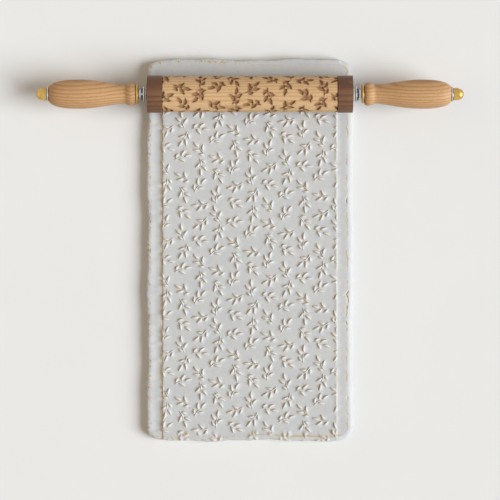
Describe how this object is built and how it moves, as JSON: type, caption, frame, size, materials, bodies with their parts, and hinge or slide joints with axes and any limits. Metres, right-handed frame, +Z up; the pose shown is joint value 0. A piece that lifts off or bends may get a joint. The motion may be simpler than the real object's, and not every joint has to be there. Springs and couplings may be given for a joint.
{
  "type": "clay texture roller",
  "caption": "Two-handled texture roller with an engraved sleeve and guide rims, resting on the strip of clay it has rolled and embossed.",
  "frame": {"origin": "centre of the clay strip's underside, on the surface it lies on", "axes": "+X along the drum's axis, +Y the way the roller has travelled, +Z up"},
  "size_m": [0.2496, 0.224, 0.0271],
  "materials": {
    "clay": "matte, unfired pale clay",
    "engraved_wood": "sanded beech, darker burnt pockets",
    "core_wood": "plain beech",
    "rim_wood": "oiled walnut",
    "handle_wood": "oiled beech",
    "steel": "turned",
    "spring_steel": "blackened spring steel",
    "nylon": "natural nylon",
    "brass": "satin"
  },
  "bodies": {
    "strip": {"clay_strip": "clay"},
    "grip": {"axle_rod": "steel", "spacer_washer_left": "steel", "spacer_washer_right": "steel", "retaining_ring_left": "spring_steel", "retaining_ring_right": "spring_steel", "handle_ferrule_left": "brass", "handle_ferrule_right": "brass", "handle_left": "handle_wood", "handle_right": "handle_wood", "end_washer_left": "steel", "end_washer_right": "steel", "cap_nut_left": "brass", "cap_nut_right": "brass"},
    "drum": {"texture_sleeve": "engraved_wood", "barrel_core": "core_wood", "end_rim_left": "rim_wood", "end_rim_right": "rim_wood", "rim_screw_left_1": "steel", "rim_screw_left_2": "steel", "rim_screw_left_3": "steel", "rim_screw_right_1": "steel", "rim_screw_right_2": "steel", "rim_screw_right_3": "steel", "bush_left": "nylon", "bush_right": "nylon"}
  },
  "joints": [
    {"name": "roll_travel", "type": "slide", "parent": "strip", "child": "grip", "axis": [0, 1, 0], "range_m": [-0.18, 0]},
    {"name": "drum_spin", "type": "hinge", "parent": "grip", "child": "drum", "pos_m": [0, 0.091, 0.0163], "axis": [1, 0, 0], "range_deg": [-5, 990]}
  ],
  "couplings": [
    {"joint": "drum_spin", "follows": "roll_travel", "rad_per_m": -95.238}
  ]
}
